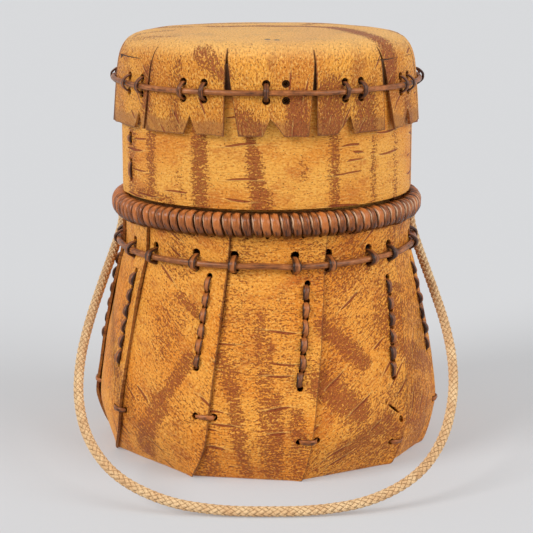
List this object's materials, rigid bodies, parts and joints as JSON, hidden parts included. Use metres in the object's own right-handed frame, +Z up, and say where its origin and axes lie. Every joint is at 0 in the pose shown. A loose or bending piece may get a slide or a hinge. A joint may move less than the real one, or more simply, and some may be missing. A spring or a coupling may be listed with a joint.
{
  "type": "lidded birch bark basket",
  "caption": "Round folded-bark basket with a laced and bound neck, an inner collar, a lift-off lid with slit flaps, and a swinging rope handle.",
  "frame": {"origin": "middle of the foot, on the surface that the basket stands on", "axes": "+Z up; -Y towards the front, where the rope handle lies; +X to the right as seen from the front"},
  "size_m": [0.1919, 0.2227, 0.216],
  "materials": {
    "folded_bark": "satin",
    "inner_bark": "matte",
    "wall_bark": "satin",
    "cap_bark": "satin",
    "split_root": "satin",
    "rim_root": "satin",
    "withy": "satin",
    "rope": "matte"
  },
  "bodies": {
    "basket": {"folded_bark_body": "folded_bark", "inner_collar": "inner_bark", "collar_seam_lacing": "split_root", "rim_hoop": "withy", "rim_binding": "rim_root", "neck_withy": "withy", "neck_withy_ties": "split_root", "foot_tacks": "split_root", "seam_lacing_1": "split_root", "seam_lacing_2": "split_root", "seam_lacing_3": "split_root", "seam_lacing_4": "split_root", "seam_lacing_5": "split_root", "seam_lacing_6": "split_root", "seam_lacing_7": "split_root", "seam_lacing_8": "split_root", "seam_lacing_9": "split_root"},
    "lid": {"lid_wall": "wall_bark", "lid_cap": "cap_bark", "lid_withy": "withy", "lid_withy_ties": "split_root", "lid_seam_lacing": "split_root"},
    "handle": {"handle_rope": "rope", "stopper_knot_left": "rope", "stopper_knot_right": "rope"}
  },
  "joints": [
    {"name": "lid_lift", "type": "slide", "parent": "basket", "child": "lid", "axis": [0, 0, 1], "range_m": [0, 0.15]},
    {"name": "handle_swing", "type": "hinge", "parent": "basket", "child": "handle", "pos_m": [0, 0.028, 0.117], "axis": [-1, 0, 0], "range_deg": [0, 251.5]}
  ]
}
